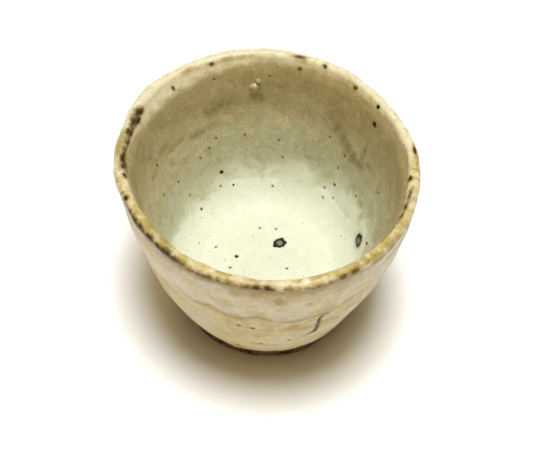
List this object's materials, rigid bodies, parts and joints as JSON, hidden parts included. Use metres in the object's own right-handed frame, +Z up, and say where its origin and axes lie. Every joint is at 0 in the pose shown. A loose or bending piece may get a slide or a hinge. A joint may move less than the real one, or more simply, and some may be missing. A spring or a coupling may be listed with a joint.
{
  "type": "soba cup",
  "caption": "Handle-less stoneware cup for soba dipping sauce or tea: flared thrown wall, rounded iron-brown lip, pooled pale glaze inside, bare trimmed foot ring.",
  "frame": {"origin": "middle of the foot ring, on the table", "axes": "+Z up along the axis that the cup was thrown on, and the picture looks along +Y"},
  "size_m": [0.083, 0.085, 0.061],
  "materials": {
    "clay": "bare fired stoneware, sandy and matt",
    "pool_glaze": "glossy cream-green glaze, tan where it is thin",
    "wall_glaze": "satin tan glaze",
    "white_glaze": "satin pinkish white glaze",
    "iron_lip": "glossy ochre lip, dark brown where it breaks",
    "iron_spot": "glossy dark iron melt",
    "bead_glaze": "glossy glaze bead"
  },
  "bodies": {
    "root": {"clay_body": "clay", "inner_glaze": "pool_glaze", "outer_glaze": "wall_glaze", "upper_glaze": "white_glaze", "rim_glaze": "iron_lip", "iron_spots": "iron_spot", "glaze_beads": "bead_glaze"}
  },
  "joints": []
}
